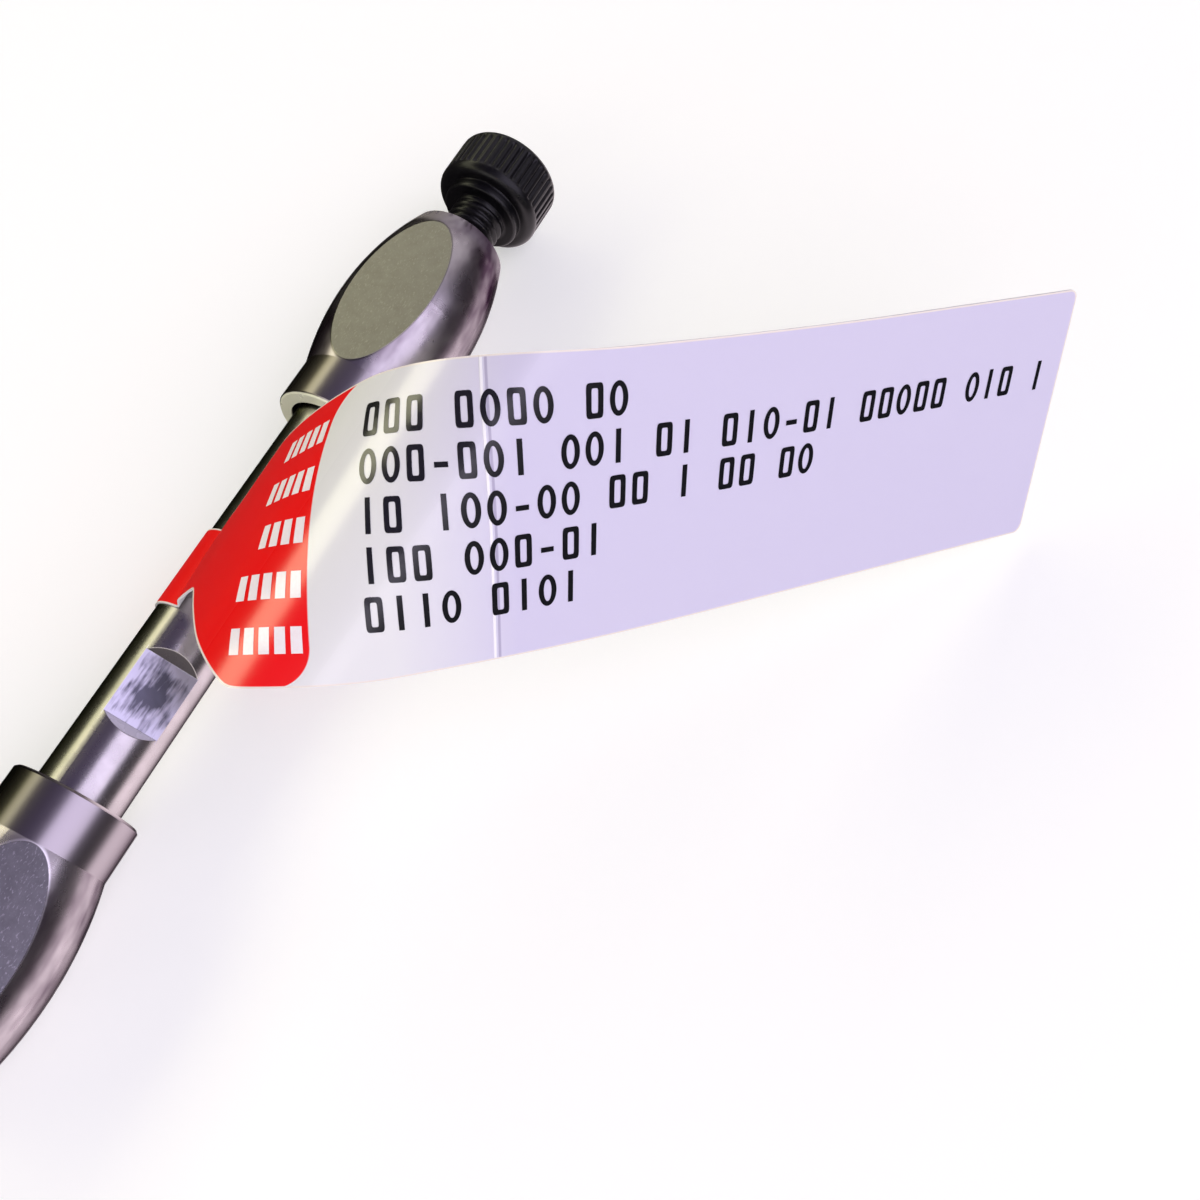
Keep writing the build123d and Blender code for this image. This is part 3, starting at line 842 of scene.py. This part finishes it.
def addShapes(name, grids, material):
    # every shape is a small grid laid just above the printed side
    points, faces, start = [], [], 0
    lift = labelFilm["thickness"] / 2 + labelPrint["lift"]
    for x, y in grids:
        count, rows, columns = x.shape
        points.append((onFilm(x, y) + filmNormal(x, y) * lift).reshape(-1, 3))
        quads = gridQuads(rows, columns)[None] + (np.arange(count) * rows * columns)[:, None, None] + start
        faces.append(quads.reshape(-1, 4))
        start += x.size
    points, faces = np.concatenate(points), np.concatenate(faces)
    corner = points[faces]
    facing = np.cross(corner[:, 1] - corner[:, 0], corner[:, 3] - corner[:, 0])
    flatX = np.concatenate([x.ravel() for x, y in grids])[faces].mean(axis=1)
    flatY = np.concatenate([y.ravel() for x, y in grids])[faces].mean(axis=1)
    wrong = (facing * filmNormal(flatX, flatY)).sum(axis=1) < 0
    faces[wrong] = faces[wrong][:, ::-1]
    piece = meshPiece(name, points * mm, faces, [material], "column")
    # the third value is any distance well inside the cut edge
    flat = np.concatenate([np.stack([x, y, 0 * x + 1], -1).reshape(-1, 3) for x, y in grids])
    keepFlat(piece, flat)


def shapePlaces():
    # the shapes stand one step apart in groups, with one step between groups; a long group has a dash
    # in its middle
    spec, rng = labelPrint, np.random.default_rng(labelPrint["seed"])
    x, line, dashes = [], [], []
    for number, groups in enumerate(printedGroups):
        place = spec["leftMargin"] + spec["step"] / 2
        for size in groups:
            x += [place + spec["step"] * k for k in range(size)]
            line += [number] * size
            dashes += [size >= spec["longGroup"] and k == size // 2 for k in range(size)]
            place += spec["step"] * (size + 1)
    kind = rng.choice(3, len(x), p=spec["ringBoxStroke"])
    kind[np.array(dashes)] = 3
    return np.array(x), np.array(line), kind


def addPrint():
    # four plain shapes, tall ring, open box, upright stroke and short dash, and blocks for captions
    spec = labelPrint
    x, line, kind = shapePlaces()
    low = spec["baseline"] + spec["pitch"] * line
    middle, dashLevel = low + spec["height"] / 2, low + spec["height"] * spec["dashLevel"]
    ring, box, stroke, dash = (kind == number for number in range(4))
    height, pen = spec["height"], spec["stroke"]
    shapes = [ringGrid(x[ring], middle[ring], spec["ringWidth"], height, pen),
              ringGrid(x[box], middle[box], spec["boxWidth"], height, pen, spec["boxPower"]),
              blockGrid(x[stroke], middle[stroke], pen, height),
              blockGrid(x[dash], dashLevel[dash], spec["ringWidth"] * spec["dashShare"], pen)]
    addShapes("label_print_shapes", shapes, inkMaterial("black_thermal_print", blackInk))
    row = np.repeat(np.arange(len(captionBlocks)), captionBlocks)
    number = np.concatenate([np.arange(count) for count in captionBlocks])
    blockX = spec["blockRight"] - spec["blockWidth"] / 2 - number * spec["blockStep"]
    blockY = spec["captionLow"] + spec["captionPitch"] * row + spec["blockHeight"] / 2
    blocks = blockGrid(blockX, blockY, spec["blockWidth"], spec["blockHeight"])
    addShapes("label_caption_blocks", [blocks], inkMaterial("white_caption_print", whiteInk))


def inkMaterial(name, tones):
    # printed ink under the same laminate: close noise mixes its two tones, so it covers unevenly
    material, tree, shader = startMaterial(name, laminate)
    cover = noise(tree, objectCoordinates(tree), labelPrint["coverSize"])
    x, y, _ = flatPlace(tree)
    feed(tree, shader, {"Base Color": mixColour(tree, cover, *tones)})
    filmGloss(tree, shader, x, y)
    return material


print("camera and stage")
addCamera()
addStage()
addSoftBoxes()
bpy.context.scene.view_settings.view_transform = "Standard"
print("steel")
dress("outlet_end_fitting", fittingMaterial("satin_stainless_outlet_fitting", outletEnd))
dress("inlet_end_fitting", fittingMaterial("satin_stainless_inlet_fitting", inletEnd))
dress("column_tube", tubeMaterial())
print("inner pieces")
packing, sintered, ringPolymer = (grainyMaterial(name, *innerFinish[name])
                                  for name in ("packed_silica", "sintered_stainless", "turned_peek"))
dress("packed_bed", packing)
for end in ("outlet", "inlet"):
    dress(end + "_frit", sintered)
    dress(end + "_frit_ring", ringPolymer)
print("plug")
addPlug()
print("label")
addLabel()
addPrint()
